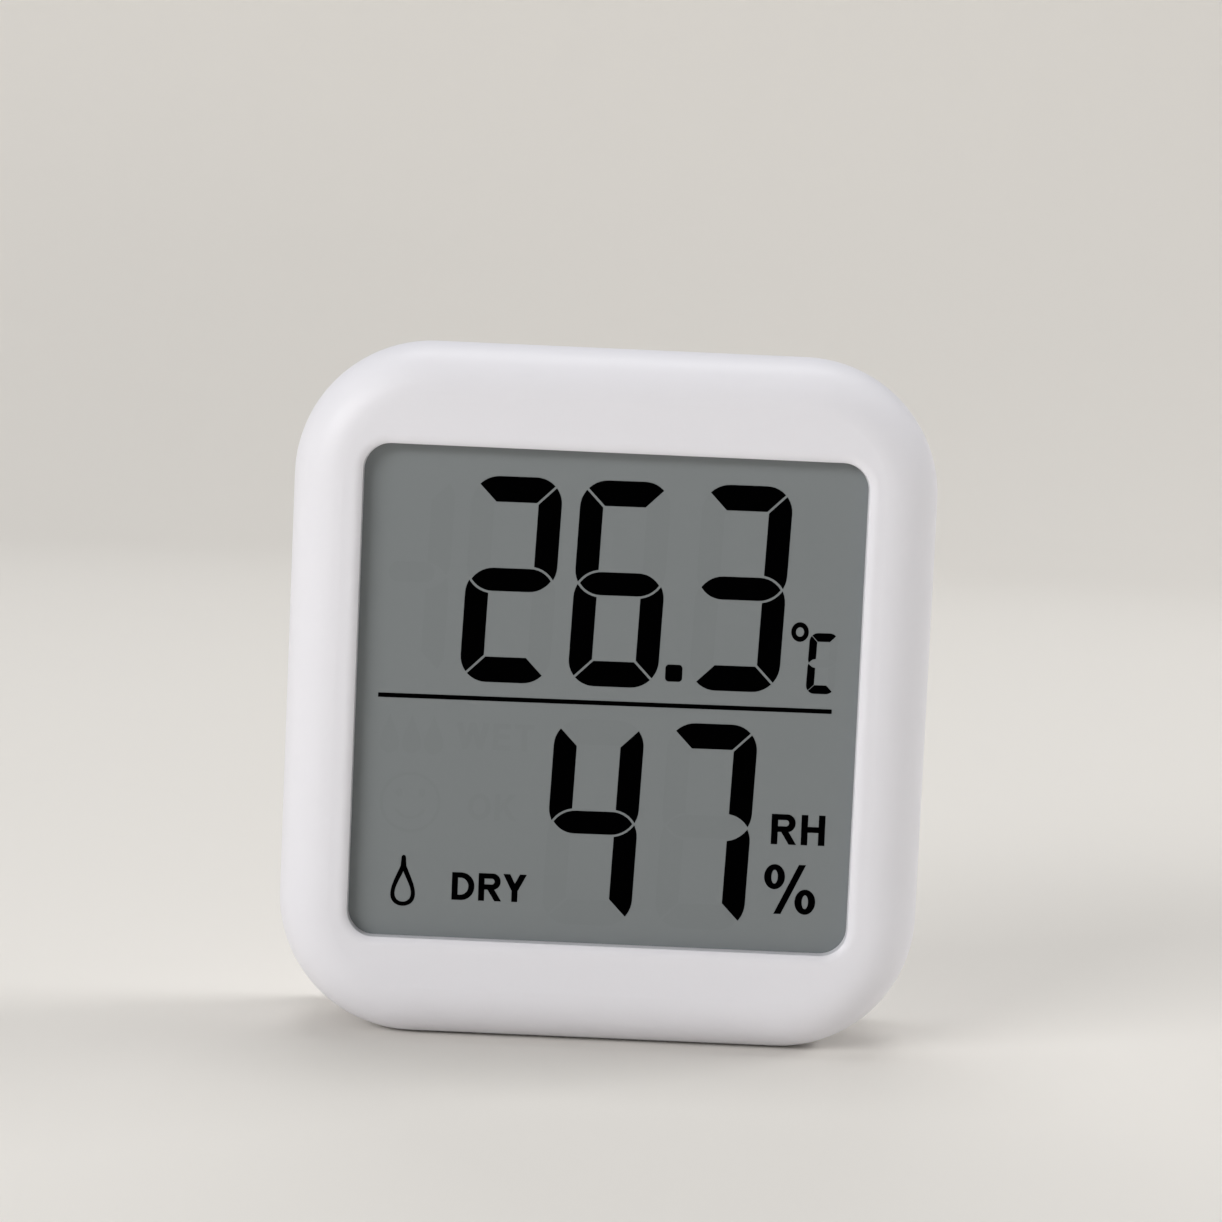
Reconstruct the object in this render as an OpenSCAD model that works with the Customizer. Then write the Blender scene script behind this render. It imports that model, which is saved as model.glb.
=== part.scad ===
// Desktop temperature and humidity sensor with a segment display.
// Every piece is drawn lying on its back and then stood up:
// x runs to the right, y up the front, z from the back face (0) to the front face (body_d).

/* [Case] */
// Overall width
body_w = 60; // [55:0.5:70]
// Overall height
body_h = 65; // [60:0.5:76]
// Corner radius seen from the front
corner_r = 12.8; // [11:0.1:14]
// Radius of the soft front edge
front_edge_r = 5; // [4.5:0.25:5.5]
// Radius of the rear edge
rear_edge_r = 2.5; // [2:0.25:3]
// Side wall
wall = 1.8; // [1.6:0.1:2]
// Front wall, which is how far the display lies back
front_wall = 1.6; // [1.4:0.1:1.8]
// Rear wall
rear_wall = 1.8; // [1.6:0.1:2]
// Depth of the front shell down to the parting line
front_depth = 9; // [8:0.25:10]
// Width of the shadow line between the shells
parting_gap = 0.25; // [0.1:0.05:0.4]
// Height of the tongue that lines the shells up
tongue_h = 1.5; // [1:0.25:2]
// Thickness of the tongue
tongue_t = 0.8; // [0.6:0.05:0.9]
// Clearance between pieces that fit into each other
fit_gap = 0.15; // [0.1:0.01:0.2]

/* [Window] */
// Frame beside the window
frame_side = 6.75; // [6:0.05:9]
// Frame above and below the window
frame_end = 9.6; // [8.7:0.05:12]
// Window corner radius
window_r = 2.5; // [1.5:0.25:4]
// Radius of the soft lip round the window
lip_r = 1.4; // [1:0.1:2]
// Angle at which the lip ends at the window's edge
lip_turn = 40; // [30:1:50]

/* [Display] */
// Thickness of one glass
glass_t = 1.1; // [0.9:0.05:1.3]
// Thickness of the front film
film_t = 0.2; // [0.15:0.05:0.25]
// Thickness of the reflector film
reflector_t = 0.25; // [0.2:0.05:0.3]
// Foam between the display and the battery bay
foam_t = 0.8; // [0.6:0.1:2]
// Glass hidden behind the frame at each side
glass_side = 1.05; // [0.8:0.05:1.2]
// Glass hidden behind the frame at the top
glass_top = 1.8; // [1.2:0.1:2]
// Contact ledge of the front glass below the window
ledge_h = 2.8; // [2.5:0.1:3.1]
// Thickness of the contact strip
zebra_t = 1.8; // [1.4:0.1:2]
// Rib that holds the glass
rib_t = 0.8; // [0.6:0.1:0.9]

/* [Board] */
// Board thickness
board_t = 1; // [0.8:0.1:1.2]
// Depth from the board to the front glass
board_drop = 3.15; // [2.9:0.05:3.5]
// Clearance from the board edge to the wall
board_edge = 0.3; // [0.2:0.05:0.5]
// Shank radius of a board screw
board_screw_r = 0.8; // [0.7:0.05:0.9]
// Head radius of a board screw
board_head_r = 1.6; // [1.4:0.05:1.8]
// Head height of a board screw
board_head_h = 1.1; // [0.9:0.1:1.3]
// Distance of the board screws from the upper and lower board edge
board_screw_inset = 7.2; // [6:0.1:8]
// Radius of the resin over the chip
chip_r = 5.5; // [4:0.1:6.2]
// Height of the resin over the chip
chip_h = 1.6; // [1.2:0.1:2]
// Length of the crystal can
crystal_l = 6; // [5:0.5:7]
// Radius of the crystal can
crystal_r = 1; // [0.8:0.05:1.2]
// Radius of the capacitor
capacitor_r = 2.1; // [1.8:0.1:2.4]
// Height of the capacitor
capacitor_h = 5; // [4:0.25:5.5]
// Length of a chip resistor
chip_part_l = 1.7; // [1.2:0.1:2]

/* [Sensor] */
// Width of the humidity sensor
sensor_w = 7; // [6:0.25:7.7]
// Length of the humidity sensor
sensor_l = 10; // [8:0.5:11]
// Height of the humidity sensor
sensor_h = 4; // [3.5:0.25:4.5]
// Radius of the temperature bead
bead_r = 1.1; // [0.9:0.05:1.3]
// Length of the bead's leads
bead_leg = 4.5; // [4:0.1:5]
// Number of vent slots
vent_count = 6; // [4:1:6]
// Length of a vent slot
vent_l = 8; // [6:0.5:9]
// Width of a vent slot
vent_t = 1.2; // [0.8:0.1:1.4]
// Distance between vent slots
vent_pitch = 2.8; // [2.4:0.1:3.1]

/* [Button] */
// Radius of the unit button
button_r = 2.6; // [2.2:0.1:2.9]
// Width of the flange that keeps the button in
flange_w = 1; // [0.7:0.1:1.1]
// Thickness of the flange
flange_t = 1; // [0.8:0.1:1.2]
// Chamfer on the button's face
button_edge = 0.3; // [0.2:0.05:0.4]
// Width of the switch
switch_w = 6; // [5:0.25:6.5]
// Height of the switch body
switch_h = 3.5; // [3.1:0.1:4]
// Radius of the switch stem
stem_r = 1.75; // [1.5:0.05:2]
// Height of the switch stem above its body
stem_h = 1.5; // [1.2:0.1:1.8]

/* [Battery] */
// Diameter of the cell
cell_d = 10.5; // [9.5:0.1:11.5]
// Length of the cell with its button
cell_l = 44.5; // [40:0.5:48]
// Clearance round the cell
cell_gap = 0.3; // [0.2:0.05:0.4]
// Length of the pressed contact spring
spring_l = 4.2; // [3.8:0.1:4.6]
// Wire radius of the contact spring
spring_wire_r = 0.3; // [0.25:0.01:0.32]
// Radius of the spring at its plate
spring_r = 3.3; // [3:0.1:3.6]
// How much narrower the spring is at the cell
spring_taper = 1.2; // [0.8:0.1:1.4]
// Thickness of the contact plates
contact_t = 0.4; // [0.3:0.05:0.5]
// Width of the contact plates
contact_w = 8.6; // [7.5:0.1:9.5]
// Wall of the battery bay
bay_wall = 1; // [0.8:0.1:1.2]
// Door thickness
door_t = 1.4; // [1.25:0.05:1.5]
// Corner radius of the door
door_r = 0.8; // [0.5:0.1:1]
// Width of the latch tongue of the door
latch_w = 12; // [10:0.5:14]
// Length of the latch tongue
latch_l = 5; // [4:0.25:6]
// Width of a door tab
tab_w = 6; // [4:0.5:6.5]
// Length of a door tab
tab_l = 1.9; // [1.7:0.1:2.1]
// Insulation radius of the leads
lead_r = 0.55; // [0.4:0.05:0.6]

/* [Stand] */
// Width of the stand
stand_w = 26; // [20:0.5:28]
// Thickness of the stand
stand_t = 2.6; // [2.3:0.1:2.9]
// Height of the stand tip above the base
stand_tip = 4.4; // [4:0.2:6]
// Corner radius at the stand foot
foot_r = 4; // [3:0.25:5]
// Margin beside the sunk panel of the stand
panel_edge = 3; // [2.5:0.25:4]
// Corner radius of the sunk panel
panel_r = 2; // [1:0.25:3]
// Radius of a trunnion
trunnion_r = 0.9; // [0.7:0.05:1]
// Length of a trunnion
trunnion_l = 1.4; // [1:0.1:1.6]
// Running clearance of a trunnion, on the radius
trunnion_gap = 0.05; // [0.03:0.01:0.1]
// Clearance between the stand and its recess
stand_gap = 0.3; // [0.25:0.05:0.4]

/* [Hanging and screws] */
// Radius of the keyhole entry
key_r = 3.4; // [3:0.1:3.8]
// Half width of the keyhole slot
key_slot_r = 1.7; // [1.5:0.05:1.8]
// Distance from the top of the case to the keyhole entry
key_from_top = 10.5; // [9.5:0.1:11.5]
// Rise of the keyhole slot above its entry
key_rise = 5; // [4:0.25:5.5]
// Depth of the pocket behind the keyhole
key_pocket = 2.6; // [2.2:0.1:3]
// Distance of the case screws from the middle
screw_x = 18.4; // [17:0.1:20]
// Shank radius of a case screw
screw_r = 0.95; // [0.8:0.05:1]
// Head radius of a case screw
screw_head_r = 1.7; // [1.5:0.05:1.8]
// Head height of a case screw
screw_head_h = 1.4; // [1.2:0.1:1.6]
// Length of a case screw below its head
screw_l = 9; // [8:0.5:10]
// Radius of a screw boss in the front shell
boss_r = 2; // [1.8:0.05:2.2]

/* [Output] */
// Piece to draw

/* [Hidden] */
$fn = 64;
// How far a rib or boss sinks into its wall, and how far a cut runs past a face
join_in = 0.2;
cut_by = 0.1;
cut_past = 1;
// Room for a screw's thread and in front of its tip
thread_gap = 0.05;
tip_room = 0.2;

door_sink = 0.1;
door_seat = 0.05;
door_z1 = door_sink + door_t;
cell_r = cell_d / 2;
cell_z = door_z1 + cell_gap + cell_r;
bay_z = cell_z + cell_r + fit_gap;
reflector_z = bay_z + bay_wall + foam_t;
rear_glass_z = reflector_z + reflector_t;
front_glass_z = rear_glass_z + glass_t;
film_z = front_glass_z + glass_t;
inner_z = film_z + film_t;
body_d = inner_z + front_wall;

mid_y = body_h / 2;
split_z = body_d - front_depth;
rim_z = split_z - parting_gap;
seat_z = split_z - tongue_h;
tongue_inset = wall - tongue_t - cut_by;
inner_x = body_w / 2 - wall;
inner_edge_r = 0.75 * (front_edge_r - wall);
rear_inner_r = 0.4 * rear_edge_r;
window_w = body_w - 2 * frame_side;
window_h = body_h - 2 * frame_end;

glass_x = window_w / 2 + glass_side;
glass_y0 = frame_end - ledge_h;
glass_y1 = body_h - frame_end + glass_top;
glass_inset = wall + 0.67 * inner_edge_r;
rear_glass_lap = 0.4;
rear_glass_y0 = frame_end - rear_glass_lap;
film_edge = 0.3;
rib_z = rear_glass_z - fit_gap;
rib_half = window_w / 3;
zebra_gap = 0.3;
zebra_end = 2;
zebra_y1 = rear_glass_y0 - zebra_gap;

screw_low_y = (wall + glass_y0) / 2;
screw_high_y = (body_h - wall + glass_y1) / 2;
screw_seat_z = seat_z / 2;
column_wall = 0.95;
column_r = screw_head_r + column_wall;

key_y = body_h - key_from_top;
key_wall = 1;
key_beside = 0.4;
key_below = 0.3;
key_above = 0.6;
key_side = key_r + key_beside;
key_low = key_y - key_r - key_below;
key_high = key_y + key_rise + key_slot_r + key_above;

contact_room = 0.1;
bay_key_gap = 0.25;
bay_x = (cell_l + spring_l + 2 * contact_t) / 2 + contact_room;
bay_y1 = key_low - key_wall - bay_wall - bay_key_gap;
bay_y0 = bay_y1 - cell_d - 2 * cell_gap;
cell_y = (bay_y0 + bay_y1) / 2;
plus_x = bay_x - contact_room / 2 - contact_t;
minus_x = -plus_x;
cell_x0 = minus_x + spring_l;
tail_w = 2;
tail_out = 0.6;
tail_rise = 0.9;
tail_room = 0.3;
tail_y = bay_y0 - bay_wall - tail_out;
tail_z = cell_z + tail_rise;
lead_x = plus_x + contact_t / 2;

stand_sink = 0.2;
barrel_r = stand_t / 2;
hinge_below = 1.7;
hinge_z = stand_sink + barrel_r;
hinge_y = bay_y0 - bay_wall - tab_l - hinge_below;
tub_wall = 1.2;
tub_x = stand_w / 2 + stand_gap;
tub_y0 = stand_tip - stand_gap;
tub_y1 = hinge_y + barrel_r + stand_gap;
tub_z = stand_sink + stand_t + stand_gap;
cheek_wall = 0.6;
cheek_l = 3;
cheek_x = tub_x + trunnion_l + cheek_wall;
trunnion_end = 0.2;
notch_r = 1.1 * foot_r;
notch_out = 0.8;

door_lap = 0.5;
door_x = bay_x + door_lap;
door_y0 = bay_y0 - bay_wall;
door_y1 = bay_y1 + bay_wall;
tab_gap = 0.7;
tab_x = cheek_x + tab_w / 2 + tab_gap;
tab_t = 1.1;
tab_z = rear_wall + fit_gap;
tab_swing = 1.75;

board_z1 = front_glass_z - board_drop;
board_z0 = board_z1 - board_t;
boss_gap = 0.2;
board_bay_gap = 1.4;
board_y0 = screw_low_y + boss_r + boss_gap;
board_y1 = bay_y0 - bay_wall - board_bay_gap;
board_y = (board_y0 + board_y1) / 2;
board_screw_ys = [board_y0 + board_screw_inset, board_y1 - board_screw_inset];
board_screw_l = board_t + rib_z - board_z1 - tip_room;
board_hole_r = board_screw_r + 0.2;
post_wall = 0.8;
post_r = board_screw_r + post_wall;
post_x = inner_x - board_head_r - fit_gap;
lead_bend = board_z0 - tail_z;

side_shift = 0.5;
side_x = (cheek_x + inner_x) / 2 - side_shift;
button_z0 = 0.2;
button_y = board_y;
button_neck_r = 1.5;
flange_r = button_r + flange_w;
flange_z = rear_wall + fit_gap;
switch_z = board_z0 - switch_h;
stem_z = switch_z - stem_h;

case_white = [0.87, 0.87, 0.89];
steel = [0.75, 0.76, 0.78];

// Stands a piece up: front towards minus y, base on the ground
module upright() {
    translate([0, body_d / 2, 0])
        rotate([90, 0, 0])
            children();
}

// Box between two corners
module box(a, b) {
    translate(a)
        cube(b - a);
}

// Rectangle with round corners, centred
module rounded_rect(w, h, r) {
    square([w - 2 * r, h], center = true);
    square([w, h - 2 * r], center = true);
    for (sx = [-1, 1], sy = [-1, 1])
        translate([sx * (w / 2 - r), sy * (h / 2 - r)])
            circle(r);
}

// Outline of the case, drawn in by some distance
module case_outline(inset) {
    translate([0, mid_y])
        rounded_rect(body_w - 2 * inset, body_h - 2 * inset, corner_r - inset);
}

// Half section of a block with soft lower and upper edges
module edge_section(reach, z0, z1, r0, r1) {
    translate([0, z0 + r0])
        square([reach, z1 - z0 - r0 - r1]);
    if (r0 > 0) {
        translate([0, z0])
            square([reach - r0, r0 + join_in]);
        intersection() {
            translate([reach - r0, z0 + r0])
                circle(r0);
            translate([reach - r0 - cut_by, z0])
                square([r0 + cut_by, r0 + cut_by]);
        }
    }
    if (r1 > 0) {
        translate([0, z1 - r1 - join_in])
            square([reach - r1, r1 + join_in]);
        intersection() {
            translate([reach - r1, z1 - r1])
                circle(r1);
            translate([reach - r1 - cut_by, z1 - r1 - cut_by])
                square([r1 + cut_by, r1 + cut_by]);
        }
    }
}

// Half section of the cut that opens to the front with a soft lip, drawn in short steps
module lip_section(reach) {
    steps = 6;
    arc = [for (i = [0 : steps])
        let (a = lip_turn * (1 - i / steps))
        [reach + lip_r * (sin(lip_turn) - sin(a)), body_d - lip_r * (1 - cos(a))]];
    polygon(concat([[0, arc[0].y]], arc, [[arc[steps].x, body_d + cut_by], [0, body_d + cut_by]]));
}

// Sweeps two half sections round a rectangle: child 0 at the corners, 1 across x, 2 across y
module swept_rect(w, h, r) {
    for (i = [0 : 3])
        translate([(i == 0 || i == 3 ? 1 : -1) * (w / 2 - r), (i < 2 ? 1 : -1) * (h / 2 - r), 0])
            rotate([0, 0, 90 * i])
                rotate_extrude(angle = 90)
                    children(0);
    rotate([90, 0, 0])
        linear_extrude(h - 2 * r, center = true) {
            children(1);
            mirror([1, 0])
                children(1);
        }
    rotate([90, 0, 90])
        linear_extrude(w - 2 * r, center = true) {
            children(2);
            mirror([1, 0])
                children(2);
        }
}

// Solid case body, drawn in by some distance, with soft edges
module soft_block(inset, z0, z1, r0, r1) {
    w = body_w - 2 * inset;
    h = body_h - 2 * inset;
    r = corner_r - inset;
    translate([0, mid_y, 0])
        swept_rect(w, h, r) {
            edge_section(r, z0, z1, r0, r1);
            edge_section(w / 2, z0, z1, r0, r1);
            edge_section(h / 2, z0, z1, r0, r1);
        }
}

// Opening in front of the display
module window_cut() {
    translate([0, mid_y, inner_z - cut_past])
        linear_extrude(front_wall + 2 * cut_past)
            rounded_rect(window_w, window_h, window_r);
    translate([0, mid_y, 0])
        swept_rect(window_w, window_h, window_r) {
            lip_section(window_r);
            lip_section(window_w / 2);
            lip_section(window_h / 2);
        }
}

// Places a child at the four case screws
module at_case_screws() {
    for (sx = [-1, 1], y = [screw_low_y, screw_high_y])
        translate([sx * screw_x, y, 0])
            children();
}

// Places a child at the four board screws
module at_board_screws() {
    for (sx = [-1, 1], y = board_screw_ys)
        translate([sx * post_x, y, 0])
            children();
}

// Cylinder along z between two heights
module post(r, z0, z1) {
    translate([0, 0, z0])
        cylinder(r = r, h = z1 - z0);
}

module front_shell() {
    rib_x = glass_x + fit_gap;
    color(case_white)
        difference() {
            union() {
                difference() {
                    soft_block(0, split_z, body_d, 0, front_edge_r);
                    soft_block(wall, split_z - cut_past, inner_z, 0, inner_edge_r);
                }
                translate([0, 0, seat_z])
                    linear_extrude(tongue_h + join_in)
                        difference() {
                            case_outline(tongue_inset);
                            case_outline(tongue_inset + tongue_t);
                        }
                for (sx = [-1, 1])
                    translate([sx * (rib_x + rib_t / 2), mid_y, (rib_z + inner_z + join_in) / 2])
                        cube([rib_t, 2 * rib_half, inner_z + join_in - rib_z], center = true);
                box([-rib_half, glass_y0 - fit_gap - rib_t, rib_z],
                    [rib_half, glass_y0 - fit_gap, inner_z + join_in]);
                box([-rib_half, glass_y1 + fit_gap, rib_z],
                    [rib_half, glass_y1 + fit_gap + rib_t, inner_z + join_in]);
                at_board_screws()
                    post(post_r, board_z1, rib_z);
                for (sx = [-1, 1], y = board_screw_ys)
                    translate([sx * (post_x + inner_x + join_in) / 2, y, (board_z1 + rib_z) / 2])
                        cube([inner_x + join_in - post_x, 1.6 * post_r, rib_z - board_z1], center = true);
                at_case_screws()
                    post(boss_r, seat_z, inner_z + join_in);
            }
            window_cut();
            at_board_screws()
                post(board_screw_r + thread_gap, board_z1 - cut_past, rib_z + cut_past);
            at_case_screws()
                post(screw_r + thread_gap, seat_z - cut_past, screw_seat_z + screw_l + tip_room);
        }
}

// Outline of the door from behind, with clearance
module door_plan(gap) {
    translate([0, (door_y0 + door_y1) / 2])
        rounded_rect(2 * (door_x + gap), door_y1 - door_y0 + 2 * gap, door_r + gap);
}

// Slots at both sides through the lower wall of the battery bay
module wall_slots(x, half, z0, z1) {
    for (sx = [-1, 1])
        box([sx * x - half, door_y0 - cut_by, z0], [sx * x + half, bay_y0 + cut_by, z1]);
}

// Hollow parts of the battery bay
module bay_cut() {
    tail_half = tail_w / 2 + fit_gap;
    box([-bay_x, bay_y0, -cut_past], [bay_x, bay_y1, bay_z]);
    translate([0, 0, -cut_past])
        linear_extrude(cut_past + door_z1 + door_seat)
            door_plan(fit_gap);
    wall_slots(tab_x, tab_w / 2 + fit_gap, door_z1 - cut_by, tab_z + tab_t + tab_swing);
    wall_slots(lead_x, contact_t / 2 + tail_room, tail_z - tail_half, tail_z + tail_half);
}

// Outline of the stand from behind, with clearance: round at the foot, square at the hinge
module stand_plan(gap) {
    w = stand_w + 2 * gap;
    y0 = stand_tip - gap;
    y1 = hinge_y + barrel_r + gap;
    r = foot_r + gap;
    translate([0, (y0 + y1) / 2])
        rounded_rect(w, y1 - y0, r);
    translate([-w / 2, y1 - 2 * r])
        square([w, 2 * r]);
}

// Hollow parts of the stand recess
module stand_cut() {
    translate([0, 0, -cut_past])
        linear_extrude(tub_z + cut_past)
            stand_plan(stand_gap);
    translate([0, hinge_y, hinge_z])
        rotate([0, 90, 0])
            cylinder(r = trunnion_r + trunnion_gap, h = 2 * (tub_x + trunnion_l), center = true);
}

// Keyhole opening and the pocket behind it
module key_cut() {
    through = rear_wall + key_pocket / 2;
    translate([0, key_y, 0])
        post(key_r, -cut_past, through);
    translate([0, key_y + key_rise, 0])
        post(key_slot_r, -cut_past, through);
    box([-key_slot_r, key_y, -cut_past], [key_slot_r, key_y + key_rise, through]);
    box([-key_side, key_low, rear_wall], [key_side, key_high, rear_wall + key_pocket]);
}

// Row of slots beside the sensor
module vent_cut() {
    for (i = [0 : vent_count - 1])
        translate([-side_x, button_y + (i - (vent_count - 1) / 2) * vent_pitch, -cut_past])
            linear_extrude(rear_wall + 2 * cut_past)
                rounded_rect(vent_l, vent_t, 0.49 * vent_t);
}

module rear_shell() {
    color(case_white)
        difference() {
            union() {
                difference() {
                    soft_block(0, 0, rim_z, rear_edge_r, 0);
                    soft_block(wall, rear_wall, rim_z + cut_past, rear_inner_r, 0);
                }
                box([-bay_x - bay_wall, bay_y0 - bay_wall, rear_wall - join_in],
                    [bay_x + bay_wall, bay_y1 + bay_wall, bay_z + bay_wall]);
                box([-tub_x - tub_wall, tub_y0 - tub_wall, rear_wall - join_in],
                    [tub_x + tub_wall, tub_y1 + tub_wall, tub_z + tub_wall]);
                box([-cheek_x, hinge_y - cheek_l, rear_wall - join_in],
                    [cheek_x, tub_y1 + tub_wall, tub_z + tub_wall]);
                box([-key_side - key_wall, key_low - key_wall, rear_wall - join_in],
                    [key_side + key_wall, key_high + key_wall, rear_wall + key_pocket + key_wall]);
                at_case_screws()
                    post(column_r, rear_wall - join_in, seat_z);
            }
            translate([0, 0, seat_z])
                linear_extrude(tongue_h + cut_past)
                    difference() {
                        case_outline(tongue_inset - fit_gap);
                        case_outline(wall + cut_by);
                    }
            bay_cut();
            stand_cut();
            key_cut();
            vent_cut();
            translate([side_x, button_y, 0])
                post(button_r + fit_gap, -cut_past, rear_wall + cut_past);
            at_case_screws() {
                post(screw_head_r + fit_gap, -cut_past, screw_seat_z);
                post(screw_r + fit_gap, screw_seat_z - cut_past, seat_z + cut_past);
            }
        }
}

// One pane of the display, kept clear of the round inner edge of the case
module glass_pane(y0, z) {
    translate([0, 0, z])
        linear_extrude(glass_t)
            intersection() {
                translate([-glass_x, y0])
                    square([2 * glass_x, glass_y1 - y0]);
                case_outline(glass_inset);
            }
}

module lcd_front_film() {
    color([0.46, 0.48, 0.48])
        box([-glass_x + film_edge, rear_glass_y0, film_z],
            [glass_x - film_edge, glass_y1 - film_edge, inner_z]);
}

module lcd_front_glass() {
    color([0.6, 0.68, 0.66])
        glass_pane(glass_y0, front_glass_z);
}

module lcd_rear_glass() {
    color([0.6, 0.68, 0.66])
        glass_pane(rear_glass_y0, rear_glass_z);
}

module lcd_reflector() {
    color([0.62, 0.64, 0.6])
        box([-glass_x + film_edge, rear_glass_y0 + film_edge, reflector_z],
            [glass_x - film_edge, glass_y1 - film_edge, rear_glass_z]);
}

module zebra_strip() {
    color([0.92, 0.6, 0.62])
        box([-glass_x + zebra_end, zebra_y1 - zebra_t, board_z1],
            [glass_x - zebra_end, zebra_y1, front_glass_z]);
}

module foam_pads() {
    color([0.15, 0.15, 0.16])
        for (sx = [-1, 1])
            translate([sx * bay_x / 2, cell_y, (bay_z + bay_wall + reflector_z) / 2])
                cube([bay_x / 2, cell_d / 2, reflector_z - bay_z - bay_wall], center = true);
}

module main_board() {
    color([0.1, 0.38, 0.2])
        translate([0, 0, board_z0])
            linear_extrude(board_t)
                difference() {
                    intersection() {
                        case_outline(wall + board_edge);
                        translate([-body_w, board_y0])
                            square([2 * body_w, board_y1 - board_y0]);
                    }
                    for (sx = [-1, 1], y = board_screw_ys)
                        translate([sx * post_x, y]) {
                            circle(board_hole_r);
                            translate([sx * post_r, 0])
                                square([2 * post_r, 2 * board_hole_r], center = true);
                        }
                }
}

module chip_blob() {
    ball_r = (chip_r * chip_r + chip_h * chip_h) / (2 * chip_h);
    color([0.07, 0.07, 0.08])
        translate([0, board_y, board_z0])
            intersection() {
                translate([0, 0, ball_r - chip_h])
                    sphere(ball_r, $fn = 128);
                translate([0, 0, -chip_h])
                    cylinder(r = chip_r + 1, h = chip_h);
            }
}

module crystal() {
    leg = 0.3 * crystal_r;
    leg_l = 1.6 * crystal_r;
    color(steel)
        translate([chip_r + 2.5 * crystal_r, board_y + crystal_l / 2, board_z0 - crystal_r]) {
            rotate([-90, 0, 0])
                cylinder(r = crystal_r, h = crystal_l);
            for (sx = [-1, 1])
                translate([sx * 1.5 * leg - leg / 2, 0, -leg / 2]) {
                    translate([0, -leg_l, 0])
                        cube([leg, leg_l + 0.2, leg]);
                    translate([0, -leg_l, 0])
                        cube([leg, leg, crystal_r + leg / 2]);
                }
        }
}

module capacitor() {
    neck = 0.9 * capacitor_r;
    color([0.12, 0.14, 0.2])
        translate([-chip_r - 1.7 * capacitor_r, board_y + 2.9 * capacitor_r, board_z0 - capacitor_h]) {
            cylinder(r = neck, h = capacitor_h);
            translate([0, 0, 0.08 * capacitor_h])
                cylinder(r = capacitor_r, h = 0.68 * capacitor_h);
            translate([0, 0, 0.84 * capacitor_h])
                cylinder(r = capacitor_r, h = 0.16 * capacitor_h);
        }
}

module smd_parts() {
    pitch = 1.75 * chip_part_l;
    row_y = board_y - chip_r - 2 * chip_part_l;
    color([0.16, 0.15, 0.14])
        for (i = [-3, -2, -1, 2, 3, 4])
            translate([i * pitch, row_y, board_z0 - 0.15 * chip_part_l])
                cube([0.55 * chip_part_l, chip_part_l, 0.3 * chip_part_l], center = true);
}

module humidity_sensor() {
    slit = 0.08 * sensor_l;
    color([0.9, 0.9, 0.88])
        translate([-side_x, button_y, board_z0 - sensor_h])
            difference() {
                translate([-sensor_w / 2, -sensor_l / 2, 0])
                    cube([sensor_w, sensor_l, sensor_h]);
                for (i = [-2 : 2])
                    translate([-0.36 * sensor_w, 2.1 * slit * i - slit / 2, -1])
                        cube([0.72 * sensor_w, slit, 0.3 * sensor_h + 1]);
            }
}

module thermistor() {
    color([0.1, 0.1, 0.1])
        translate([-side_x, board_y1 - 2 * bead_r - 2, board_z0 - bead_leg]) {
            sphere(bead_r, $fn = 128);
            for (sx = [-1, 1])
                translate([sx * 0.55 * bead_r, 0, 0])
                    cylinder(r = 0.2 * bead_r, h = bead_leg);
        }
}

module unit_switch() {
    color([0.12, 0.12, 0.13])
        translate([side_x, button_y, switch_z])
            difference() {
                translate([-switch_w / 2, -switch_w / 2, 0])
                    cube([switch_w, switch_w, switch_h]);
                post(stem_r + fit_gap, -1, 0.63 * switch_h);
            }
}

module switch_stem() {
    color([0.2, 0.2, 0.21])
        translate([side_x, button_y, 0])
            post(stem_r, stem_z, switch_z + 0.37 * switch_h);
}

module unit_button() {
    color([0.78, 0.79, 0.81])
        translate([side_x, button_y, 0]) {
            translate([0, 0, button_z0])
                cylinder(r1 = button_r - button_edge, r2 = button_r, h = button_edge);
            post(button_r, button_z0 + button_edge, flange_z + join_in);
            post(flange_r, flange_z, flange_z + flange_t);
            post(button_neck_r, flange_z + flange_t - join_in, stem_z);
        }
}

module battery() {
    nub_h = 1.2;
    nub_r = 2.6;
    edge = 0.5;
    body_l = cell_l - nub_h;
    color([0.2, 0.45, 0.3])
        translate([cell_x0, cell_y, cell_z])
            rotate([0, 90, 0])
                rotate_extrude()
                    polygon([[0, 0], [cell_r - edge, 0], [cell_r, edge], [cell_r, body_l - edge],
                             [cell_r - edge, body_l], [nub_r, body_l], [nub_r, cell_l], [0, cell_l]]);
}

// Contact plate with its solder tail, which passes through the bay wall
module contact_plate(x) {
    box([x, cell_y - contact_w / 2, cell_z - contact_w / 2],
        [x + contact_t, cell_y + contact_w / 2, cell_z + contact_w / 2]);
    box([x, tail_y, tail_z - tail_w / 2], [x + contact_t, cell_y, tail_z + tail_w / 2]);
}

module positive_contact() {
    color(steel)
        contact_plate(plus_x);
}

module negative_contact() {
    color(steel)
        contact_plate(minus_x - contact_t);
}

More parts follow.
